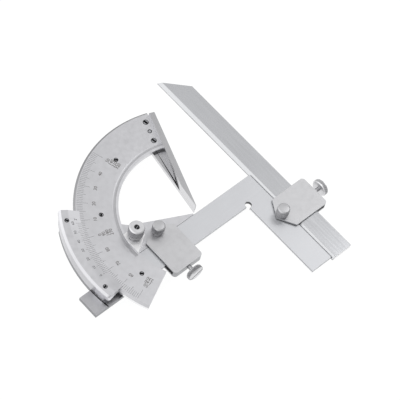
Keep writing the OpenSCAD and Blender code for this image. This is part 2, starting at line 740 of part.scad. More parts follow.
// Straight rule with a bevelled measuring edge, one end cut to a point
module straight_rule() {
    edge = square_reach + slide_gap;
    color([0.75, 0.76, 0.77]) intersection() {
        translate([0, rule_top, 0]) rotate([90, 0, 0]) linear_extrude(rule_l) polygon([
            [edge, rule_back], [edge + rule_w, rule_back], [edge + rule_w, bar_front],
            [edge + rule_bevel_w, bar_front], [edge, rule_back + rule_land]]);
        translate([0, 0, rule_back - 1]) linear_extrude(rule_t + 2) polygon([
            [edge, rule_top], [edge, rule_top - rule_l], [edge + rule_w, rule_top - rule_l],
            [edge + rule_w, rule_top - rule_cut]]);
    }
}

main_scale();
base_rule();
base_rule_screws();
base_rule_dowel();
gear_segment();
gear_segment_screws();
sector_plate();
guide_plate();
guide_plate_screws();
vernier_base();
vernier_base_screws();
vernier_plate();
vernier_screws();
pinion_bush();
pinion();
pinion_knob();
pinion_knob_screw();
brake_stud();
brake_shoe();
brake_nut();
clamp1_body();
clamp1_leaf_spring();
clamp1_knob_screw();
clamp1_pad();
clamp1_thumb_screw();
square_arm();  // square
clamp2_body();
clamp2_leaf_spring();
clamp2_knob_screw();
clamp2_pad();
clamp2_thumb_screw();
straight_rule();
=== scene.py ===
import bmesh
import bpy
import json
from math import atan2, cos, pi, radians, sin
from mathutils import Matrix, Vector


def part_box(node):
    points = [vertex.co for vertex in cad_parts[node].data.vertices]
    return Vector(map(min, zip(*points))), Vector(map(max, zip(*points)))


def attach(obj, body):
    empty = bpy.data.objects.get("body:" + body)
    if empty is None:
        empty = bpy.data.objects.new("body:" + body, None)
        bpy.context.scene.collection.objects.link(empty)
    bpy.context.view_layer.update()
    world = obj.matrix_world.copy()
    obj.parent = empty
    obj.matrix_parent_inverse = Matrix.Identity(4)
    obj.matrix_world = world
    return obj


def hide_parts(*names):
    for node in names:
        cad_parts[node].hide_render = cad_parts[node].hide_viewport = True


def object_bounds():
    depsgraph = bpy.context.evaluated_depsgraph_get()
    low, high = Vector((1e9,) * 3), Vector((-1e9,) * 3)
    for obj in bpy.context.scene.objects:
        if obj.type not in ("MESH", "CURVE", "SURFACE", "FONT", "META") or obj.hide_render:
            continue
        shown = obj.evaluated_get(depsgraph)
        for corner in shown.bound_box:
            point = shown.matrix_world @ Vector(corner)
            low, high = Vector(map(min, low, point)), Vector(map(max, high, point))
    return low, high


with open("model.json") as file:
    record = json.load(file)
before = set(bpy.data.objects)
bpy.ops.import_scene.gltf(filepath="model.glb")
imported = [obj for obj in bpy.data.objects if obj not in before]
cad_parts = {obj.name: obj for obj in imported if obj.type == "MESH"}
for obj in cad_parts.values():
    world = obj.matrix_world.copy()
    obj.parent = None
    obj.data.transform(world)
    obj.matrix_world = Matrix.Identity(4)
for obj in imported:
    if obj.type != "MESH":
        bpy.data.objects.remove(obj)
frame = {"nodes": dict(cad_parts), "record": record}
cad_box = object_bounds()
mm = 0.001


# Main scale: a ring plate of hardened steel, ground flat and plated with satin chrome. Its rim, its
# bore and the groove beside the bore are turned, and its other edges are broken with a stone.
SCALE_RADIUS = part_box("main_scale")[1][1]
RIM_INNER = SCALE_RADIUS - 1.25 * mm
# Y where the rim's painted shade and the bore's painted highlight begin, and where the shade deepens.
PAINTED_FROM_Y = 3 * mm
RIM_SHADE_DEEPENS_Y = 50 * mm
RIM_TOP = 71 * mm
BORE_INNER = 40 * mm
GROOVE_INNER = 45.9 * mm
GROOVE_OUTER = 47.3 * mm
GROOVE_TOP = -0.04 * mm
# Walls inside this radius keep the face's tone, without the painted light of the other walls.
PLAIN_WALLS_TO = 48.6 * mm
OUTSIDE = 90 * mm
STONED_EDGE = 0.14 * mm
SOFT_ANGLE = radians(15)
FLAT_ANGLE = radians(0.5)
WELD = 0.001 * mm
SATIN_CHROME = "#C9C9CC"
SATIN_ROUGHNESS = 0.42

body_of = {}
for body, nodes in frame["record"]["behaviour"]["bodies"].items():
    for node in nodes:
        body_of[node] = body


def linear(hex_colour):
    """Linear RGBA of an sRGB hex colour."""
    parts = [int(hex_colour[i:i + 2], 16) / 255 for i in (1, 3, 5)]
    return [c / 12.92 if c <= 0.04045 else ((c + 0.055) / 1.055) ** 2.4 for c in parts] + [1.0]


def scaled(colour, share):
    """A linear colour made lighter or darker, and no lighter than white."""
    return [min(1, c * share) for c in colour[:3]] + [1]


def add(tree, kind, inputs=None, **settings):
    """Adds a node. An input takes a value, a socket, or a node, which gives its first output."""
    made = tree.nodes.new(kind)
    for key, value in settings.items():
        setattr(made, key, value)
    for key, value in (inputs or {}).items():
        if isinstance(value, bpy.types.Node):
            value = value.outputs[0]
        if isinstance(value, bpy.types.NodeSocket):
            tree.links.new(value, made.inputs[key])
        else:
            made.inputs[key].default_value = value
    return made


def steel(name, colour, roughness, grain=(3 * mm, 3 * mm, 3 * mm), along=0.0, lines=0.06):
    """Bare or plated steel: a grain of that length and width, which lies along an angle.

    The grain is drawn coarser than a real one, whose lines are under a tenth of a millimetre wide,
    so that it shows. A hand-finished face is also a little cloudy, in soft patches of some 14 mm.
    """
    patch, mottle, scratch_depth = 14 * mm, 0.035, 0.02 * mm
    noise_range = {"From Min": 0.3, "From Max": 0.7}
    material = bpy.data.materials.new(name)
    material.use_nodes = True
    tree = material.node_tree
    shader = tree.nodes["Principled BSDF"]
    shader.inputs["Metallic"].default_value = 1.0
    place = add(tree, "ShaderNodeTexCoord").outputs["Object"]
    stretched = add(tree, "ShaderNodeMapping", {
        "Vector": place, "Rotation": (0, 0, along), "Scale": grain}, vector_type="TEXTURE")
    scratches = add(tree, "ShaderNodeTexNoise", {"Vector": stretched, "Scale": 1.0, "Detail": 3.0})
    clouds = add(tree, "ShaderNodeTexNoise", {"Vector": place, "Scale": 1 / patch, "Detail": 2.0})
    rough = add(tree, "ShaderNodeMapRange", {
        "Value": scratches, **noise_range, "To Min": roughness - lines, "To Max": roughness + lines})
    streak = add(tree, "ShaderNodeMapRange", {
        "Value": scratches, **noise_range, "To Min": 1 - lines * 0.6, "To Max": 1 + lines * 0.6})
    mean = linear(colour)
    tone = add(tree, "ShaderNodeMix", {
        "Factor": clouds, "A": scaled(mean, 1 - mottle), "B": scaled(mean, 1 + mottle)},
        data_type="RGBA").outputs["Result"]
    shade = add(tree, "ShaderNodeVectorMath", {0: tone, 1: streak}, operation="MULTIPLY")
    bump = add(tree, "ShaderNodeBump", {"Height": scratches, "Strength": 0.12, "Distance": scratch_depth})
    tree.links.new(rough.outputs["Result"], shader.inputs["Roughness"])
    tree.links.new(shade.outputs["Vector"], shader.inputs["Base Color"])
    tree.links.new(bump.outputs["Normal"], shader.inputs["Normal"])
    return material


def merged(node):
    """A copy of a CAD node's mesh with its points joined and its flat faces whole."""
    copy = bmesh.new()
    copy.from_mesh(frame["nodes"][node].data)
    bmesh.ops.remove_doubles(copy, verts=copy.verts, dist=WELD)
    bmesh.ops.dissolve_limit(copy, angle_limit=FLAT_ANGLE, verts=copy.verts, edges=copy.edges)
    mesh = bpy.data.meshes.new(node + "_whole")
    copy.to_mesh(mesh)
    copy.free()
    return mesh


def shown(mesh, name):
    """An object for a mesh, with soft shading between faces that meet at a low angle."""
    mesh.shade_smooth()
    mesh.set_sharp_from_angle(angle=SOFT_ANGLE)
    piece = bpy.data.objects.new(name, mesh)
    bpy.context.scene.collection.objects.link(piece)
    return piece


def stand_for(piece, node):
    """The piece takes the place of a CAD node, on its body."""
    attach(piece, body_of[node])
    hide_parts(node)


def finished(node, material, edge=STONED_EDGE, segments=2, mesh=None):
    """The CAD node's own shape with its sharp edges broken, in its real finish."""
    piece = shown(mesh or merged(node), node + "_finished")
    bevel = piece.modifiers.new("broken edges", "BEVEL")
    bevel.width = edge
    bevel.segments = segments
    bevel.limit_method = "ANGLE"
    bevel.angle_limit = SOFT_ANGLE
    bevel.harden_normals = True
    bevel.use_clamp_overlap = True
    whole = bpy.data.meshes.new_from_object(piece.evaluated_get(bpy.context.evaluated_depsgraph_get()))
    piece.modifiers.clear()
    piece.data = whole
    piece.data.materials.clear()
    piece.data.materials.append(material)
    stand_for(piece, node)
    return piece


def ringed(material, inner, outer, share, below=OUTSIDE, along=(-OUTSIDE, OUTSIDE)):
    """A ring about the turning axis keeps a share of its tone, below one height and between two Y.

    A pair of shares is what it keeps at the two Y, with an even change between them.
    """
    tree = material.node_tree
    colour = tree.nodes["Principled BSDF"].inputs["Base Color"]
    place = add(tree, "ShaderNodeTexCoord").outputs["Object"]
    spot = add(tree, "ShaderNodeSeparateXYZ", {"Vector": place}).outputs
    flat = add(tree, "ShaderNodeVectorMath", {0: place, 1: (1, 1, 0)}, operation="MULTIPLY")
    distance = add(tree, "ShaderNodeVectorMath", {0: flat}, operation="LENGTH").outputs["Value"]
    ring = add(tree, "ShaderNodeMath", {
        0: distance, 1: (inner + outer) / 2, 2: (outer - inner) / 2}, operation="COMPARE")
    low = add(tree, "ShaderNodeMath", {0: spot["Z"], 1: below}, operation="LESS_THAN")
    between = add(tree, "ShaderNodeMath", {
        0: spot["Y"], 1: sum(along) / 2, 2: (along[1] - along[0]) / 2}, operation="COMPARE")
    stretch = add(tree, "ShaderNodeMath", {0: low, 1: between}, operation="MULTIPLY")
    inside = add(tree, "ShaderNodeMath", {0: ring, 1: stretch}, operation="MULTIPLY")
    if isinstance(share, tuple):
        share = add(tree, "ShaderNodeMapRange", {
            "Value": spot["Y"], "From Min": along[0], "From Max": along[1],
            "To Min": share[0], "To Max": share[1]})
    kept = add(tree, "ShaderNodeMapRange", {"Value": inside, "To Min": 1.0, "To Max": share})
    shade = add(tree, "ShaderNodeVectorMath", {
        0: colour.links[0].from_socket, 1: kept}, operation="MULTIPLY")
    tree.links.new(shade.outputs["Vector"], colour)


def lapped(material, colour="#F2F2F3", roughness=0.16, steepness=0.3, bore_tone=None, foot=None):
    """Paints light or shade on the steep faces of a piece: they take a colour and roughness of their own.

    A given bore (x, y, radius, share of tone) keeps that share of the face's tone on its walls, a low
    share painting shade in it; a given foot is a height and the colour painted below it.
    """
    tree = material.node_tree
    shader = tree.nodes["Principled BSDF"].inputs
    base = shader["Base Color"].links[0].from_socket
    rough = shader["Roughness"].links[0].from_socket
    normal = add(tree, "ShaderNodeNewGeometry").outputs["True Normal"]
    upwards = add(tree, "ShaderNodeSeparateXYZ", {"Vector": normal}).outputs["Z"]
    level = add(tree, "ShaderNodeMath", {0: upwards}, operation="ABSOLUTE")
    steep = add(tree, "ShaderNodeMath", {0: level, 1: steepness}, operation="LESS_THAN")
    place = add(tree, "ShaderNodeTexCoord").outputs["Object"]
    spot = add(tree, "ShaderNodeSeparateXYZ", {"Vector": place}).outputs
    wall = linear(colour)
    if foot:
        low = add(tree, "ShaderNodeMath", {0: spot["Z"], 1: foot[0]}, operation="LESS_THAN")
        wall = add(tree, "ShaderNodeMix", {
            "Factor": low, "A": wall, "B": linear(foot[1])}, data_type="RGBA").outputs["Result"]
    if bore_tone:
        x, y, radius, share = bore_tone
        flat = add(tree, "ShaderNodeCombineXYZ", {"X": spot["X"], "Y": spot["Y"]})
        distance = add(tree, "ShaderNodeVectorMath", {
            0: flat, 1: (x, y, 0)}, operation="DISTANCE").outputs["Value"]
        away = add(tree, "ShaderNodeMath", {0: distance, 1: radius}, operation="GREATER_THAN")
        cut = add(tree, "ShaderNodeVectorMath", {0: base, 1: (share, share, share)}, operation="MULTIPLY")
        wall = add(tree, "ShaderNodeMix", {
            "Factor": away, "A": cut.outputs["Vector"], "B": wall}, data_type="RGBA").outputs["Result"]
    # The wall colour is painted light or shade on the steep faces.
    tone = add(tree, "ShaderNodeMix", {"Factor": steep, "A": base, "B": wall}, data_type="RGBA")
    smooth = add(tree, "ShaderNodeMix", {"Factor": steep, "A": rough, "B": roughness}, data_type="FLOAT")
    tree.links.new(tone.outputs["Result"], shader["Base Color"])
    tree.links.new(smooth.outputs["Result"], shader["Roughness"])


# Satin chrome scatters the light softly and shows no scratches, only a slow cloudiness. The turned
# rim is darkened with painted shade, deepest at its upper end. The groove is darkened with painted
# shade too, the bore's edge has a painted highlight, and the plate's walls are painted light.
satin_chrome = steel("satin chrome plate", SATIN_CHROME, SATIN_ROUGHNESS)
scale_chrome = steel("satin chrome plate with painted shade and highlights", SATIN_CHROME, SATIN_ROUGHNESS)
# Painted shade on the rim all round, deepening towards its upper end.
ringed(scale_chrome, RIM_INNER, OUTSIDE, share=0.82)
ringed(scale_chrome, RIM_INNER, OUTSIDE, share=0.74, along=(PAINTED_FROM_Y, RIM_SHADE_DEEPENS_Y))
ringed(scale_chrome, RIM_INNER, OUTSIDE, share=(0.74, 0.52), along=(RIM_SHADE_DEEPENS_Y, RIM_TOP))
# Painted shade in the groove.
ringed(scale_chrome, GROOVE_INNER, GROOVE_OUTER, share=0.79, below=GROOVE_TOP)
# A painted highlight on the bore's edge.
ringed(scale_chrome, BORE_INNER, GROOVE_INNER, share=1.07, along=(PAINTED_FROM_Y, OUTSIDE))
# Painted light on the plate's walls, except the walls round the bore.
lapped(scale_chrome, bore_tone=(0, 0, PLAIN_WALLS_TO, 1.0))
finished("main_scale", scale_chrome)


# Degree marks and numbers of the main scale: lines cut by a dividing engine and stamped numbers,
# both filled with lacquer. Every fifth line is longer, and every tenth is longest and has a number.
# At 0 and at both ends the numbers of all the quadrants stand in rows.
REST_ANGLE = radians(69.333)
FIRST_MARK = radians(39.3)
MARKS_FROM = REST_ANGLE + FIRST_MARK
MARKS = 91
MARK_OUTER = SCALE_RADIUS - 1.8 * mm
MARK_SHORT = 3.5 * mm
MARK_FIFTH = 5 * mm
MARK_TENTH = 6.6 * mm
MARK_WIDTH = 0.12 * mm
LACQUER = 0.012 * mm
NUMBER_SIZE = 2.75 * mm
NUMBER_RADIUS = SCALE_RADIUS - 11.7 * mm
NUMBER_ROW = 2.25 * mm
NUMBER_AT_START = 50
QUADRANT = 90
ROWS_AT = {0: 4, 50: 4, 90: 3}


def lacquer(name, colour):
    """Filling of a cut line, in patches of some 2.5 mm that have worn more or less."""
    material = bpy.data.materials.new(name)
    material.use_nodes = True
    tree = material.node_tree
    shader = tree.nodes["Principled BSDF"]
    shader.inputs["Roughness"].default_value = 0.6
    shader.inputs["Specular IOR Level"].default_value = 0.3
    place = add(tree, "ShaderNodeTexCoord").outputs["Object"]
    worn = add(tree, "ShaderNodeTexNoise", {"Vector": place, "Scale": 1 / (2.5 * mm), "Detail": 2.0})
    tone = add(tree, "ShaderNodeMix", {
        "Factor": worn, "A": scaled(linear(colour), 0.75), "B": scaled(linear(colour), 1.3)},
        data_type="RGBA")
    tree.links.new(tone.outputs["Result"], shader.inputs["Base Color"])
    return material


def new_tree(name, sizes):
    """An empty geometry tree with named inputs, and its group's input and output nodes."""
    tree = bpy.data.node_groups.new(name, "GeometryNodeTree")
    tree.interface.new_socket("Geometry", in_out="INPUT", socket_type="NodeSocketGeometry")
    tree.interface.new_socket("Geometry", in_out="OUTPUT", socket_type="NodeSocketGeometry")
    for label, kind in sizes.items():
        tree.interface.new_socket(label, in_out="INPUT", socket_type=kind)
    return tree, add(tree, "NodeGroupInput"), add(tree, "NodeGroupOutput")


def ring_spot(tree, radius, angle, height):
    """The point at that radius, angle and height about the axis."""
    cosine = add(tree, "ShaderNodeMath", {0: angle}, operation="COSINE")
    sine = add(tree, "ShaderNodeMath", {0: angle}, operation="SINE")
    x = add(tree, "ShaderNodeMath", {0: radius, 1: cosine}, operation="MULTIPLY")
    y = add(tree, "ShaderNodeMath", {0: radius, 1: sine}, operation="MULTIPLY")
    return add(tree, "ShaderNodeCombineXYZ", {"X": x, "Y": y, "Z": height})


def marks_tree():
    """Radial marks on a ring: each one a thin bar, longer at every fifth and every tenth."""
    number, count = "NodeSocketFloat", "NodeSocketInt"
    tree, sizes, result = new_tree("engraved marks", {
        "Marks": count, "First angle": number, "Step": number, "Radius": number,
        "Inwards": "NodeSocketBool", "Short": number, "Fifth": number, "Tenth": number,
        "Width": number, "Depth": number, "Slope": number, "Height": number,
        "Material": "NodeSocketMaterial"})
    size = sizes.outputs
    index = add(tree, "GeometryNodeInputIndex")
    angle = add(tree, "ShaderNodeMath", {
        0: index, 1: size["Step"], 2: size["First angle"]}, operation="MULTIPLY_ADD")
    past_fifth = add(tree, "ShaderNodeMath", {0: index, 1: 5.0}, operation="MODULO")
    past_tenth = add(tree, "ShaderNodeMath", {0: index, 1: 10.0}, operation="MODULO")
    fifth = add(tree, "ShaderNodeMath", {0: past_fifth, 1: 0.0, 2: 0.5}, operation="COMPARE")
    tenth = add(tree, "ShaderNodeMath", {0: past_tenth, 1: 0.0, 2: 0.5}, operation="COMPARE")
    short_or_fifth = add(tree, "GeometryNodeSwitch", {
        "Switch": fifth, "False": size["Short"], "True": size["Fifth"]}, input_type="FLOAT")
    length = add(tree, "GeometryNodeSwitch", {
        "Switch": tenth, "False": short_or_fifth, "True": size["Tenth"]}, input_type="FLOAT")
    side = add(tree, "GeometryNodeSwitch", {
        "Switch": size["Inwards"], "False": 0.5, "True": -0.5}, input_type="FLOAT")
    offset = add(tree, "ShaderNodeMath", {0: length, 1: side}, operation="MULTIPLY")
    radius = add(tree, "ShaderNodeMath", {0: size["Radius"], 1: offset}, operation="ADD")
    rise = add(tree, "ShaderNodeMath", {0: size["Slope"]}, operation="TANGENT")
    height = add(tree, "ShaderNodeMath", {
        0: offset, 1: rise, 2: size["Height"]}, operation="MULTIPLY_ADD")
    tilt = add(tree, "ShaderNodeMath", {0: size["Slope"], 1: -1.0}, operation="MULTIPLY")
    row = add(tree, "GeometryNodeMeshLine", {"Count": size["Marks"]})
    placed = add(tree, "GeometryNodeSetPosition", {
        "Geometry": row, "Position": ring_spot(tree, radius, angle, height)})
    bars = add(tree, "GeometryNodeInstanceOnPoints", {
        "Points": placed,
        "Instance": add(tree, "GeometryNodeMeshCube", {"Size": (1, 1, 1)}),
        "Rotation": add(tree, "ShaderNodeCombineXYZ", {"Y": tilt, "Z": angle}),
        "Scale": add(tree, "ShaderNodeCombineXYZ", {
            "X": length, "Y": size["Width"], "Z": size["Depth"]})})
    real = add(tree, "GeometryNodeRealizeInstances", {"Geometry": bars})
    coated = add(tree, "GeometryNodeSetMaterial", {"Geometry": real, "Material": size["Material"]})
    tree.links.new(coated.outputs["Geometry"], result.inputs["Geometry"])
    return tree


def grown(tree, name, sizes, start=None):
    """Runs a geometry tree with these sizes and keeps its result as a plain mesh."""
    base = bpy.data.objects.new(name, start or bpy.data.meshes.new(name))
    bpy.context.scene.collection.objects.link(base)
    modifier = base.modifiers.new("built", "NODES")
    modifier.node_group = tree
    keys = {item.name: item.identifier for item in tree.interface.items_tree if item.in_out == "INPUT"}
    for label, value in sizes.items():
        modifier[keys[label]] = value
    mesh = bpy.data.meshes.new_from_object(base.evaluated_get(bpy.context.evaluated_depsgraph_get()))
    bpy.data.objects.remove(base)
    mesh.name = name
    return mesh


def lettering(name, labels, size, material):
    """Stamped numbers as one mesh: labels are (text, matrix that puts it in place)."""
    whole = bmesh.new()
    for text, place in labels:
        curve = bpy.data.curves.new("number", "FONT")
        curve.body = text
        curve.size = size
        curve.align_x = "CENTER"
        curve.align_y = "CENTER"
        curve.extrude = LACQUER / 2
        curve.resolution_u = 3
        writing = bpy.data.objects.new("number", curve)
        bpy.context.scene.collection.objects.link(writing)
        bpy.context.view_layer.update()
        flat = bpy.data.meshes.new_from_object(writing)
        flat.transform(place)
        whole.from_mesh(flat)
        bpy.data.objects.remove(writing)
        bpy.data.curves.remove(curve)
        bpy.data.meshes.remove(flat)
    mesh = bpy.data.meshes.new(name)
    whole.to_mesh(mesh)
    whole.free()
    mesh.materials.append(material)
    return mesh


def on_ring(radius, angle, height, slope=0.0):
    """Place on a ring's face where writing reads with its head outwards."""
    return (Matrix.Rotation(angle, 4, "Z") @ Matrix.Translation((radius, 0, height))
            @ Matrix.Rotation(-slope, 4, "Y") @ Matrix.Rotation(-pi / 2, 4, "Z"))


def filled(name, mesh, node):
    """Lines or numbers as a piece that rides with a CAD node."""
    piece = bpy.data.objects.new(name, mesh)
    bpy.context.scene.collection.objects.link(piece)
    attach(piece, body_of[node])


# The lacquer is matt and nearly black in the lines, and a little brown in the deeper numbers. Both
# are uneven where they have worn, so that the writing looks printed in ink rather than painted.
line_lacquer = lacquer("black lacquer in engraved lines", "#2B2C2F")
number_lacquer = lacquer("brown black lacquer in stamped numbers", "#3A342B")
marks = marks_tree()
filled("scale_marks", grown(marks, "scale_marks", {
    "Marks": MARKS, "First angle": MARKS_FROM, "Step": radians(1), "Radius": MARK_OUTER,
    "Inwards": True, "Short": MARK_SHORT, "Fifth": MARK_FIFTH, "Tenth": MARK_TENTH,
    "Width": MARK_WIDTH, "Depth": LACQUER, "Slope": 0.0, "Height": 0.0,
    "Material": line_lacquer}), "main_scale")
labels = []
for degrees in range(0, MARKS, 10):
    value = (NUMBER_AT_START - degrees) % QUADRANT
    for row in range(ROWS_AT.get(degrees, 1)):
        place = on_ring(NUMBER_RADIUS - row * NUMBER_ROW, MARKS_FROM + radians(degrees), 0)
        labels.append((str(value + row * QUADRANT), place))
numbers = lettering("scale_numbers", labels, NUMBER_SIZE, number_lacquer)
filled("scale_numbers", numbers, "main_scale")


# Base rule: a wedge of tool steel, surface ground along its length so that its measuring face is
# straight and bright. Its foot is screwed and dowelled to the back of the scale.
WEB_TOP = -1 * mm
WEB_SHADOW_INNER = 43.5 * mm
WEB_SHADOW_OUTER = 44.6 * mm

# Ground steel shows fine lines along the grain, and the light follows them. Its walls are painted
# brighter, a painted light. A painted shadow lies on the web, close under the bore of the scale.
ground_along_base = steel("ground steel, grain along the base rule", "#B4B4B6", 0.36,
                          grain=(14 * mm, 0.7 * mm, 0.7 * mm), along=REST_ANGLE, lines=0.025)
# Painted shadow of the scale's edge on the web.
ringed(ground_along_base, WEB_SHADOW_INNER, WEB_SHADOW_OUTER, share=0.3, below=WEB_TOP)
# Painted light on the rule's walls.
lapped(ground_along_base, "#DADADC", roughness=0.22)
finished("base_rule", ground_along_base)


# Screws and dowel of the scale: blackened steel, with heads and ends ground flush with the plate.
# The screws hold the base rule and the gear segment, and the dowel keeps the base rule's angle.
FINE_EDGE = 0.06 * mm
DOWEL_EDGE = 0.5 * mm
DOWEL_GROUND = -0.075 * mm
FOOT_SCREW_RIM = 0.3 * mm
SMALL_SCREW_RIM = 0.34 * mm
END_LEVEL = 0.02 * mm
BLACKED_STEEL = "#19191B"
BARE_STEEL = "#A2A3A7"


def blacked(name, bare_below=-OUTSIDE, bare_above=OUTSIDE):
    """Blackened steel, which was cut or ground bare below one height and above another."""
    material = bpy.data.materials.new(name)
    material.use_nodes = True
    tree = material.node_tree
    shader = tree.nodes["Principled BSDF"]
    shader.inputs["Metallic"].default_value = 0.4
    place = add(tree, "ShaderNodeTexCoord").outputs["Object"]
    oil = add(tree, "ShaderNodeTexNoise", {"Vector": place, "Scale": 1 / (0.8 * mm), "Detail": 2.0})
    rough = add(tree, "ShaderNodeMapRange", {"Value": oil, "To Min": 0.3, "To Max": 0.6})
    height = add(tree, "ShaderNodeSeparateXYZ", {"Vector": place}).outputs["Z"]
    low = add(tree, "ShaderNodeMath", {0: height, 1: bare_below}, operation="LESS_THAN")
    high = add(tree, "ShaderNodeMath", {0: height, 1: bare_above}, operation="GREATER_THAN")
    bare = add(tree, "ShaderNodeMath", {0: low, 1: high}, operation="ADD")
    tone = add(tree, "ShaderNodeMix", {
        "Factor": bare, "A": linear(BLACKED_STEEL), "B": linear(BARE_STEEL)}, data_type="RGBA")
    tree.links.new(rough.outputs["Result"], shader.inputs["Roughness"])
    tree.links.new(tone.outputs["Result"], shader.inputs["Base Color"])
    return material


def rubbed(piece, material, rim):
    """The end faces of these screws are rubbed bare, except for a rim round each left black as painted
    shadow.
    """
    piece.data.materials.append(material)
    solid = bmesh.new()
    solid.from_mesh(piece.data)
    top = max(vertex.co.z for vertex in solid.verts)
    ends = [face for face in solid.faces
            if face.normal.z > 0.99 and top - face.calc_center_median().z < END_LEVEL]
    bmesh.ops.inset_region(solid, faces=ends, thickness=rim, use_boundary=True, use_even_offset=True)
    for face in ends:
        face.material_index = 1
    solid.to_mesh(piece.data)
    solid.free()


# Blackened steel is deep and oily, glossier in small spots. Where the heads were rubbed bare with the
# plate they are grey. A black rim is left round each as a painted shadow of the gap round the head,
# so that it and a black slot draw each screw.
screw_black = blacked("blackened screws")
screw_bare = steel("rubbed screw heads", "#98999D", 0.4)
rubbed(finished("base_rule_screws", screw_black, edge=FINE_EDGE, segments=1), screw_bare, FOOT_SCREW_RIM)
rubbed(finished("gear_segment_screws", screw_black, edge=FINE_EDGE, segments=1), screw_bare,
       SMALL_SCREW_RIM)
dowel_steel = blacked("blackened dowel, ground flush", bare_above=DOWEL_GROUND)
finished("base_rule_dowel", dowel_steel, edge=DOWEL_EDGE)


# Gear segment and pinion: hobbed steel teeth of module 0.7, left as cut and lightly oiled. The
# segment is screwed behind the scale, and the pinion's shaft turns in a bronze bush in the sector.
TOOTH_EDGE = 0.05 * mm
BUSH_EDGE = 0.12 * mm

# Cut steel is a duller grey, with the cutter's marks along the teeth. Bronze is the only warm tone,
# a soft gold with turning lines round it.
cut_steel = steel("hobbed gear steel", "#9FA0A3", 0.38, grain=(0.5 * mm, 0.5 * mm, 6 * mm))
bronze = steel("bearing bronze", "#B08D57", 0.34, grain=(6 * mm, 6 * mm, 0.3 * mm))
for node in ("gear_segment", "pinion"):
    finished(node, cut_steel, edge=TOOTH_EDGE, segments=1)
finished("pinion_bush", bronze, edge=BUSH_EDGE)


# Sector: back plate with its tail, guide plate, curved block and vernier plate. All are steel, sawn
# and milled, and plated with satin chrome. Screws from behind hold them together, and two from the
# front hold the vernier plate on its block.
SECTOR_RADIUS = SCALE_RADIUS + 8.7 * mm
TAIL_CONTACT_SHADOW = (SECTOR_RADIUS + 0.05 * mm, SECTOR_RADIUS + 0.8 * mm)
LOW_WALL_INNER = 74 * mm
LOW_WALL_TOP = 0.65 * mm
LOW_WALL_ALONG = (-30 * mm, -3 * mm)
CHAMFER_INNER = 77.4 * mm
CHAMFER_ALONG = (20 * mm, 48 * mm)
VERNIER_END = radians(189.5)
CORNER_BEYOND = 77.3 * mm
CORNER_RADIUS = 1.9 * mm
ON_END = 0.05 * mm


def filed(mesh, angle, beyond, radius):
    """Rounds the outer corner of a curved piece's end, which lies at an angle about the turning axis."""
    solid = bmesh.new()
    solid.from_mesh(mesh)
    end = Vector((cos(angle), sin(angle), 0))
    corner = [edge for edge in solid.edges if all(
        vertex.co.dot(end) > beyond and abs(vertex.co.cross(end).z) < ON_END for vertex in edge.verts)]
    bmesh.ops.bevel(solid, geom=corner, offset=radius, segments=5, profile=0.5, affect="EDGES",
                    clamp_overlap=True)
    solid.to_mesh(mesh)
    solid.free()
    return mesh


# The block's chrome has a painted highlight low on the wall at its lower end, and more and more along
# the chamfer at its upper end. The back plate was rolled, and is duller. Its sawn edges are painted
# darker still, a painted shade, and a painted contact shadow lies on its tail along the block.
vernier_chrome = steel("satin chrome plate with painted highlights", SATIN_CHROME, SATIN_ROUGHNESS)
# Painted highlights on the block's wall and chamfer.
ringed(vernier_chrome, LOW_WALL_INNER, OUTSIDE, share=1.4, below=LOW_WALL_TOP, along=LOW_WALL_ALONG)
ringed(vernier_chrome, CHAMFER_INNER, OUTSIDE, share=(1.0, 1.32), along=CHAMFER_ALONG)
sector_chrome = steel("rolled plate of the sector, plated", "#B3B3B6", 0.38)
# Painted contact shadow on the tail along the block.
ringed(sector_chrome, *TAIL_CONTACT_SHADOW, share=0.1)
# Painted shade on the back plate's walls.
lapped(sector_chrome, "#939497", roughness=0.4)
finished("guide_plate", satin_chrome)
finished("vernier_base", vernier_chrome)
finished("vernier_plate", vernier_chrome,
         mesh=filed(merged("vernier_plate"), VERNIER_END, CORNER_BEYOND, CORNER_RADIUS))
finished("sector_plate", sector_chrome)
for node in ("guide_plate_screws", "vernier_base_screws"):
    finished(node, screw_black, edge=FINE_EDGE, segments=1)
rubbed(finished("vernier_screws", screw_black, edge=FINE_EDGE, segments=1), screw_bare, SMALL_SCREW_RIM)


# Vernier marks: thirty divisions of two minutes over 29 degrees, cut on the plate's slope from its
# thin edge outwards, with a longer line at every fifth and a number at every ten minutes. Lines and
# numbers are filled with the black lacquer of the scale's lines.
VERNIER_ZERO = radians(179.3)
VERNIER_SPAN = radians(29)
VERNIER_MARKS = 31
VERNIER_MINUTES = 60
VERNIER_INNER = SCALE_RADIUS - 3.3 * mm
VERNIER_EDGE = VERNIER_INNER + 0.1 * mm
VERNIER_SHORT = 2.3 * mm
VERNIER_LONG = 3.3 * mm
SLOPE_WIDTH = 6.75 * mm
SLOPE_RISE = 1.75 * mm
SLOPE_LOW = 0.25 * mm
VERNIER_SLOPE = atan2(SLOPE_RISE, SLOPE_WIDTH)
VERNIER_NUMBERS = VERNIER_INNER + 4.9 * mm
VERNIER_NUMBER_SIZE = 2.3 * mm
UNIT_RADIUS = VERNIER_INNER + 2.9 * mm
UNIT_ANGLE = radians(148.2)


def slope_height(radius):
    """Height of the vernier's slope at that distance from the axis."""
    return SLOPE_LOW + (radius - VERNIER_INNER) * SLOPE_RISE / SLOPE_WIDTH


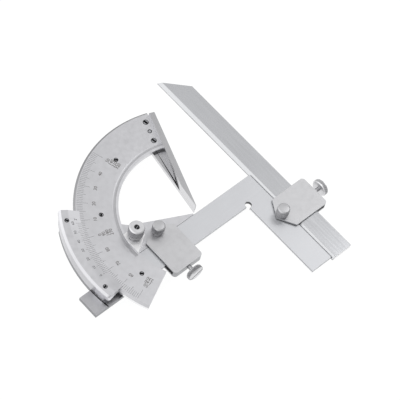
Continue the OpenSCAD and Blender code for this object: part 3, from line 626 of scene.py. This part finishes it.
filled("vernier_marks", grown(marks, "vernier_marks", {
    "Marks": VERNIER_MARKS, "First angle": VERNIER_ZERO, "Step": -VERNIER_SPAN / (VERNIER_MARKS - 1),
    "Radius": VERNIER_EDGE, "Inwards": False, "Short": VERNIER_SHORT, "Fifth": VERNIER_LONG,
    "Tenth": VERNIER_LONG, "Width": MARK_WIDTH, "Depth": LACQUER, "Slope": VERNIER_SLOPE,
    "Height": slope_height(VERNIER_EDGE), "Material": line_lacquer}), "vernier_plate")
labels = []
for minutes in range(0, VERNIER_MINUTES + 1, 10):
    angle = VERNIER_ZERO - VERNIER_SPAN * minutes / VERNIER_MINUTES
    place = on_ring(VERNIER_NUMBERS, angle, slope_height(VERNIER_NUMBERS), VERNIER_SLOPE)
    labels.append((str(minutes), place))
labels.append(("2'", on_ring(UNIT_RADIUS, UNIT_ANGLE, slope_height(UNIT_RADIUS), VERNIER_SLOPE)))
numbers = lettering("vernier_numbers", labels, VERNIER_NUMBER_SIZE, line_lacquer)
filled("vernier_numbers", numbers, "vernier_plate")


# Brake: a steel shoe whose lip bears on the scale's rim by the bore, and a stud through it. The stud
# stands in the guide plate, and its end is slotted for a driver.
SHOE_EDGE = 0.12 * mm
STUD_END = 8.65 * mm

# The shoe is steel painted near white, a painted sheen for the soft shine of its top. The stud is
# blackened at its end alone, so that a black ring shows in the nut's bore, with the bare floor of the
# slot across it.
shoe_painted_sheen = steel("shoe steel with a painted sheen", "#F0F0F1", 0.4)
finished("brake_shoe", shoe_painted_sheen, edge=SHOE_EDGE)
stud_black = blacked("stud with a blackened end", bare_below=STUD_END)
finished("brake_stud", stud_black, edge=FINE_EDGE, segments=1)


# Brake nut: turned from steel and plated, with a neck under a knurled head, and a bore in which the
# stud's end shows. Turned by hand, it presses the shoe on the scale and locks it.
NUT_BORE = 1.55 * mm
NUT_FLANK = 1.3 * mm
NUT_NECK = 1.0 * mm
NUT_SHOULDER = 0.8 * mm
NUT_KNURL_FROM = 1.5 * mm
NUT_BORE_BEVEL = 0.2 * mm
NUT_POINTS = 26
KNURL_ROWS = 5
KNURL_DEPTH = 0.3 * mm
KNURL_POINT = 0.28 * mm
END_BEVEL = 0.6 * mm
ON_FLOOR = 0.01 * mm


def lathed(profile, steps=72):
    """A solid turned from (radius, height) points about its axis, from bottom to top."""
    solid = bmesh.new()
    rings = []
    for radius, height in profile:
        if radius == 0:
            rings.append([solid.verts.new((0, 0, height))])
        else:
            turns = [2 * pi * i / steps for i in range(steps)]
            rings.append([solid.verts.new((radius * cos(a), radius * sin(a), height)) for a in turns])
    for low, high in zip(rings, rings[1:]):
        for i in range(steps):
            j = (i + 1) % steps
            if len(low) == 1:
                solid.faces.new((low[0], high[j], high[i]))
            elif len(high) == 1:
                solid.faces.new((low[i], low[j], high[0]))
            else:
                solid.faces.new((low[i], low[j], high[j], high[i]))
    bmesh.ops.remove_doubles(solid, verts=solid.verts, dist=WELD)
    bmesh.ops.recalc_face_normals(solid, faces=solid.faces)
    mesh = bpy.data.meshes.new("turned")
    solid.to_mesh(mesh)
    solid.free()
    return mesh


def knurl_tree():
    """Diamond knurling: rows of small points round a turned core, every other row set over by half."""
    number, count = "NodeSocketFloat", "NodeSocketInt"
    tree, sizes, result = new_tree("diamond knurling", {
        "Points": count, "Rows": count, "Radius": number, "Point height": number, "Bottom": number,
        "Row height": number, "Material": "NodeSocketMaterial"})
    size = sizes.outputs
    index = add(tree, "GeometryNodeInputIndex")
    middle = add(tree, "ShaderNodeMath", {0: index, 1: 0.5}, operation="ADD")
    turns = add(tree, "ShaderNodeMath", {0: middle, 1: size["Points"]}, operation="DIVIDE")
    row = add(tree, "ShaderNodeMath", {0: turns}, operation="FLOOR")
    set_over = add(tree, "ShaderNodeMath", {0: row, 1: 0.5, 2: index}, operation="MULTIPLY_ADD")
    around = add(tree, "ShaderNodeMath", {0: set_over, 1: 2 * pi}, operation="MULTIPLY")
    angle = add(tree, "ShaderNodeMath", {0: around, 1: size["Points"]}, operation="DIVIDE")
    height = add(tree, "ShaderNodeMath", {
        0: row, 1: size["Row height"], 2: size["Bottom"]}, operation="MULTIPLY_ADD")
    total = add(tree, "ShaderNodeMath", {0: size["Points"], 1: size["Rows"]}, operation="MULTIPLY")
    half_round = add(tree, "ShaderNodeMath", {0: size["Radius"], 1: pi}, operation="MULTIPLY")
    width = add(tree, "ShaderNodeMath", {0: half_round, 1: size["Points"]}, operation="DIVIDE")
    spots = add(tree, "GeometryNodeMeshLine", {"Count": total})
    placed = add(tree, "GeometryNodeSetPosition", {
        "Geometry": spots, "Position": ring_spot(tree, size["Radius"], angle, height)})
    points = add(tree, "GeometryNodeInstanceOnPoints", {
        "Points": placed,
        "Instance": add(tree, "GeometryNodeMeshUVSphere", {"Segments": 4, "Rings": 2, "Radius": 1.0}),
        "Rotation": add(tree, "ShaderNodeCombineXYZ", {"Z": angle}),
        "Scale": add(tree, "ShaderNodeCombineXYZ", {
            "X": size["Point height"], "Y": width, "Z": size["Row height"]})})
    real = add(tree, "GeometryNodeRealizeInstances", {"Geometry": points})
    coated = add(tree, "GeometryNodeSetMaterial", {"Geometry": real, "Material": size["Material"]})
    both = add(tree, "GeometryNodeJoinGeometry", {"Geometry": coated})
    tree.links.new(sizes.outputs["Geometry"], both.inputs["Geometry"])
    tree.links.new(both.outputs["Geometry"], result.inputs["Geometry"])
    return tree


# Knurling is as bright as any plating on its points and dark between them, and looks like a grey
# speckle. Its points are drawn coarser than the real ones, so that they show. The turned ends are
# smoother, and painted lighter than the knurled sides: painted light on ends, painted shade on sides.
knurling = knurl_tree()
plated_knurl = steel("plated knurling", "#A9A9AB", 0.3, grain=(4 * mm, 4 * mm, 0.3 * mm))
nut_end = steel("turned end of the nut", "#D2D2D4", 0.38)


def knurled(node, core, radius, points, bottom, top, place, ends, slot_floor=None):
    """A knurled part on a turned core, which stands for a CAD node. Its slot's floor is black."""
    core.materials.clear()
    for material in (ends, plated_knurl, screw_black):
        core.materials.append(material)
    # Painted light and shade: level faces take the lighter end material, steep faces the darker knurl.
    for face in core.polygons:
        face.material_index = 0 if abs(face.normal.z) > 0.3 else 1
        if slot_floor and abs(face.center.z - slot_floor) < ON_FLOOR:
            face.material_index = 2
    row_height = (top - bottom) / (KNURL_ROWS + 1)
    mesh = grown(knurling, node + "_turned", {
        "Points": points, "Rows": KNURL_ROWS, "Radius": radius - KNURL_DEPTH,
        "Point height": KNURL_POINT, "Bottom": bottom + row_height, "Row height": row_height,
        "Material": plated_knurl}, core)
    mesh.transform(place)
    stand_for(shown(mesh, node + "_turned"), node)


def corners(node):
    """Lowest and highest corner of a CAD node's box, and its middle."""
    low, high = (Vector(corner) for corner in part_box(node))
    return low, high, (low + high) / 2


low, high, at = corners("brake_nut")
whole, radius = high.z - low.z, (high.x - low.x) / 2
neck, core = radius - NUT_FLANK, radius - KNURL_DEPTH
nut_core = lathed([
    (NUT_BORE, 0), (neck, 0), (neck, NUT_NECK), (radius - NUT_SHOULDER, NUT_NECK),
    (core, NUT_KNURL_FROM), (core, whole - END_BEVEL), (core - END_BEVEL, whole),
    (NUT_BORE + NUT_BORE_BEVEL, whole), (NUT_BORE, whole - NUT_BORE_BEVEL), (NUT_BORE, 0)])
knurled("brake_nut", nut_core, radius, NUT_POINTS, NUT_KNURL_FROM, whole - END_BEVEL,
        Matrix.Translation((at.x, at.y, low.z)), nut_end)


# Clamps: channels bent from steel strip and plated, with a knurled screw on their point, a pad, a
# blued leaf spring inside, and a knurled thumb screw with a coin slot through the end wall.
CLAMP_EDGE = 0.22 * mm
SPRING_EDGE = 0.03 * mm
PAD_EDGE = 0.1 * mm
KNOB_HEAD = 6.6 * mm
KNOB_NECK = 0.7 * mm
KNOB_SHANK = 1.45 * mm
KNOB_PLAIN = 1.2 * mm
KNOB_POINTS = 22
THUMB_HEAD = 3.3 * mm
THUMB_SHANK = 1.25 * mm
THUMB_PLAIN = 0.6 * mm
THUMB_POINTS = 26
HEAD_UNDERSIDE = 0.7 * mm
HEAD_LIP = 0.05 * mm
LOWER_BEVEL = 0.5 * mm
CROWN_WIDTH = 0.3 * mm
CROWN_RISE = 0.06 * mm
COIN_SLOT_WIDTH = 0.8 * mm
COIN_SLOT_DEPTH = 1.0 * mm
COIN_SLOT_TURN = radians(25)
AIM = {"clamp1": Matrix.Rotation(pi / 2, 4, "X"), "clamp2": Matrix.Rotation(pi / 2, 4, "Y")}


def headed(radius, shank, whole, head, neck):
    """Profile of a knurled screw: shank, turned neck, and a head with its edges bevelled."""
    under = whole - head + neck
    bevel = radius - KNURL_DEPTH - END_BEVEL
    return [(0, 0), (shank, 0), (shank, whole - head), (radius - HEAD_UNDERSIDE, whole - head),
            (radius - HEAD_UNDERSIDE, under + HEAD_LIP), (radius - KNURL_DEPTH, under + LOWER_BEVEL),
            (radius - KNURL_DEPTH, whole - END_BEVEL), (bevel, whole - CROWN_RISE),
            (bevel - CROWN_WIDTH, whole), (0, whole)]


def coin_slotted(mesh, reach, end):
    """A turned core with a coin slot cut across its end, a little turned from the screw's sides."""
    block = bmesh.new()
    bmesh.ops.create_cube(block, size=1.0)
    block.transform(Matrix.Rotation(COIN_SLOT_TURN, 4, "Z") @ Matrix.Translation((0, 0, end))
                    @ Matrix.Diagonal((4 * reach, COIN_SLOT_WIDTH, 2 * COIN_SLOT_DEPTH, 1)))
    cutter_mesh = bpy.data.meshes.new("cutter")
    block.to_mesh(cutter_mesh)
    block.free()
    cutter = bpy.data.objects.new("cutter", cutter_mesh)
    body = bpy.data.objects.new("core", mesh)
    bpy.context.scene.collection.objects.link(cutter)
    bpy.context.scene.collection.objects.link(body)
    cut = body.modifiers.new("slot", "BOOLEAN")
    cut.operation = "DIFFERENCE"
    cut.object = cutter
    cut.solver = "EXACT"
    slotted = bpy.data.meshes.new_from_object(body.evaluated_get(bpy.context.evaluated_depsgraph_get()))
    bpy.data.objects.remove(body)
    bpy.data.objects.remove(cutter)
    return slotted


# Blued spring steel is a dark blue grey with a fine grain along the leaf. The clamps' bent faces are
# satin and their walls painted duller, a painted shade. The knob screws' ends are turned, and the
# thumb screws' ends are painted lighter, a painted light.
blued = steel("blued spring steel", "#6E7480", 0.3, grain=(10 * mm, 0.5 * mm, 0.5 * mm))
clamp_chrome = steel("satin chrome on the bent clamps", "#C4C4C6", 0.38)
# Painted shade on the clamps' walls.
lapped(clamp_chrome, "#A9AAAC", roughness=0.38)
knob_end = steel("turned ends of the clamp screws", "#BABABC", 0.4)
# Painted light on the thumb screws' ends.
thumb_end = steel("thumb screw ends with painted light", "#DADADC", 0.36)
for clamp, aim in AIM.items():
    finished(clamp + "_body", clamp_chrome, edge=CLAMP_EDGE)
    finished(clamp + "_leaf_spring", blued, edge=SPRING_EDGE, segments=1)
    finished(clamp + "_pad", cut_steel, edge=PAD_EDGE)
    knob = clamp + "_knob_screw"
    low, high, at = corners(knob)
    whole, radius = high.z - low.z, (high.x - low.x) / 2
    core = lathed(headed(radius, KNOB_SHANK, whole, KNOB_HEAD, KNOB_NECK))
    knurled(knob, core, radius, KNOB_POINTS, whole - KNOB_HEAD + KNOB_PLAIN, whole - END_BEVEL,
            Matrix.Translation((at.x, at.y, low.z)), knob_end)
    thumb = clamp + "_thumb_screw"
    low, high, at = corners(thumb)
    radius = (high.z - low.z) / 2
    whole = high.y - low.y if clamp == "clamp1" else high.x - low.x
    tip = Vector((at.x, high.y, at.z)) if clamp == "clamp1" else Vector((low.x, at.y, at.z))
    core = lathed(headed(radius, THUMB_SHANK, whole, THUMB_HEAD, 0))
    core = coin_slotted(core, radius, whole)
    knurled(thumb, core, radius, THUMB_POINTS, whole - THUMB_HEAD + THUMB_PLAIN, whole - END_BEVEL,
            Matrix.Translation(tip) @ aim, thumb_end, whole - COIN_SLOT_DEPTH)


# Fine adjusting knob: a knurled steel knob on the pinion's shaft, behind the sector's tail, held by
# a blackened screw. Turning it moves the scale slowly.
finished("pinion_knob", plated_knurl, edge=TOOTH_EDGE, segments=1)
finished("pinion_knob_screw", screw_black, edge=FINE_EDGE, segments=1)


# Square and straight rule: tool steel blades, hardened and surface ground along their length. One
# clamp holds the square on the sector, and the other holds the rule on the square's short limb.
BLADE_EDGE = 0.28 * mm
RELIEF_HOLE = (28.1 * mm, -14.4 * mm, 2.3 * mm, 0.12)
SQUARE_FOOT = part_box("square")[0][2] + 1.1 * mm
BEVEL_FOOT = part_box("straight_rule")[0][2] + 0.6 * mm
WALL_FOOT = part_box("straight_rule")[0][2] + 0.8 * mm

# The light draws lines along the ground faces, soft on the square and sharper on the rule. The
# square's walls are painted dull, but painted bright along its back, and its relief hole is painted
# dark as shade in the hole. The rule's bevel is painted a shade darker and its walls painted bright,
# both painted greyer at the foot: painted light and shade on all these faces.
ground_along_x = steel("ground steel, grain along the square", "#CACBCE", 0.42,
                       grain=(14 * mm, 0.7 * mm, 0.7 * mm), lines=0.02)
# Painted shade on the square's walls and in its relief hole, painted light along its back.
lapped(ground_along_x, "#A4A5A8", roughness=0.25, bore_tone=RELIEF_HOLE, foot=(SQUARE_FOOT, "#F6F6F7"))
ground_along_y = steel("ground steel, grain along the rule", "#C6C7CA", 0.22,
                       grain=(1.1 * mm, 30 * mm, 1.1 * mm), lines=0.03)
# Painted shade on the rule's bevel and at its foot, painted light on its walls.
lapped(ground_along_y, "#BFC0C2", roughness=0.3, steepness=0.9, foot=(BEVEL_FOOT, "#A6A7AA"))
lapped(ground_along_y, foot=(WALL_FOOT, "#98999C"))
finished("square", ground_along_x, edge=BLADE_EDGE)
finished("straight_rule", ground_along_y, edge=BLADE_EDGE)


# Studio floor: a white sweep of paper. It glows a little where the camera or a mirroring face sees
# it, so that it shows nearly white and keeps a faint shadow.
FLOOR_HALF = 3.0
PAPER_WHITE = "#F3F3F3"
PAPER_GLOW = 1.07
PAPER_LIT = 0.88
WHITE = "#FFFFFF"

floor_z = cad_box[0][2] - 0.3 * mm
floor_mesh = bpy.data.meshes.new("floor")
floor_mesh.from_pydata([
    (-FLOOR_HALF, -FLOOR_HALF, floor_z), (FLOOR_HALF, -FLOOR_HALF, floor_z),
    (FLOOR_HALF, FLOOR_HALF, floor_z), (-FLOOR_HALF, FLOOR_HALF, floor_z)], [], [(0, 1, 2, 3)])
floor = bpy.data.objects.new("floor", floor_mesh)
bpy.context.scene.collection.objects.link(floor)
paper = bpy.data.materials.new("white paper sweep")
paper.use_nodes = True
tree = paper.node_tree
tree.nodes.clear()
ray = add(tree, "ShaderNodeLightPath").outputs
mirrored = add(tree, "ShaderNodeMath", {
    0: ray["Is Camera Ray"], 1: ray["Is Glossy Ray"]}, operation="MAXIMUM")
seen = add(tree, "ShaderNodeMath", {0: mirrored, 1: ray["Is Transmission Ray"]}, operation="MAXIMUM")
matt = add(tree, "ShaderNodeBsdfDiffuse", {"Color": linear(PAPER_WHITE)})
glow = add(tree, "ShaderNodeEmission", {"Color": linear(WHITE), "Strength": PAPER_GLOW})
lit = add(tree, "ShaderNodeMixShader", {"Fac": PAPER_LIT, 1: matt, 2: glow})
mixed = add(tree, "ShaderNodeMixShader", {"Fac": seen, 1: matt, 2: lit})
add(tree, "ShaderNodeOutputMaterial", {"Surface": mixed})
floor_mesh.materials.append(paper)


# Studio light: an even light from the whole room, big diffusers round the table, each one a soft
# lobe about its direction, and a soft box high on the right that draws the glints.
ROOM_LIGHT = 0.43
DIFFUSERS = {
    "ceiling": ((0, 0, 1), 0.2),
    "right": ((1, 0, 0), 0.3),
    "left": ((-1, 0, 0), 0.35),
    "left back": ((-0.7, 0.6, 0.4), 0.75),
}
SOFT_BOX_AT = Vector((0.57, -0.052, 0.87))
SOFT_BOX_SIZE = 0.3
SOFT_BOX_POWER = 1.03

world = bpy.data.worlds.new("studio")
world.use_nodes = True
bpy.context.scene.world = world
tree = world.node_tree
tree.nodes.clear()
ray = add(tree, "ShaderNodeLightPath").outputs
seen_along = add(tree, "ShaderNodeTexCoord").outputs["Generated"]
light = ROOM_LIGHT
for towards, strength in DIFFUSERS.values():
    facing = add(tree, "ShaderNodeVectorMath", {
        0: seen_along, 1: Vector(towards).normalized()}, operation="DOT_PRODUCT").outputs["Value"]
    lobe = add(tree, "ShaderNodeMapRange", {
        "Value": facing, "From Min": 0.0, "From Max": 1.0}, interpolation_type="SMOOTHSTEP")
    light = add(tree, "ShaderNodeMath", {0: lobe, 1: strength, 2: light}, operation="MULTIPLY_ADD")
soft = add(tree, "ShaderNodeBackground", {"Color": linear(WHITE), "Strength": light})
white = add(tree, "ShaderNodeBackground", {"Color": linear(WHITE), "Strength": 1.0})
seen = add(tree, "ShaderNodeMath", {
    0: ray["Is Camera Ray"], 1: ray["Is Transmission Ray"]}, operation="MAXIMUM")
sky = add(tree, "ShaderNodeMixShader", {"Fac": seen, 1: soft, 2: white})
add(tree, "ShaderNodeOutputWorld", {"Surface": sky})

lamp = bpy.data.lights.new("right soft box", "AREA")
lamp.shape = "SQUARE"
lamp.size = SOFT_BOX_SIZE
lamp.energy = SOFT_BOX_POWER
soft_box = bpy.data.objects.new("right soft box", lamp)
soft_box.location = SOFT_BOX_AT
soft_box.rotation_euler = (-SOFT_BOX_AT).to_track_quat("-Z", "Y").to_euler()
bpy.context.scene.collection.objects.link(soft_box)


# Camera: a long lens above the lower left corner, where the photograph's camera stood. Its place and
# its turn were worked out from the degree marks and from the length of the straight rule.
CAMERA_AT = Vector((-0.54037, -0.35526, 1.02378))
CAMERA_RIGHT = Vector((0.72773, -0.66833, 0.15409))
CAMERA_UP = Vector((0.51774, 0.68264, 0.51569))
CAMERA_BACK = CAMERA_RIGHT.cross(CAMERA_UP)
SENSOR_WIDTH = 36
FOCAL_LENGTH = 192.857
SEES_TO = 20

lens = bpy.data.cameras.new("camera")
lens.sensor_width = SENSOR_WIDTH
lens.lens = FOCAL_LENGTH
lens.clip_end = SEES_TO
camera = bpy.data.objects.new("camera", lens)
camera.matrix_world = Matrix((
    (CAMERA_RIGHT.x, CAMERA_UP.x, CAMERA_BACK.x, CAMERA_AT.x),
    (CAMERA_RIGHT.y, CAMERA_UP.y, CAMERA_BACK.y, CAMERA_AT.y),
    (CAMERA_RIGHT.z, CAMERA_UP.z, CAMERA_BACK.z, CAMERA_AT.z),
    (0, 0, 0, 1)))
bpy.context.scene.collection.objects.link(camera)
bpy.context.scene.camera = camera
bpy.context.scene.view_settings.view_transform = "Standard"
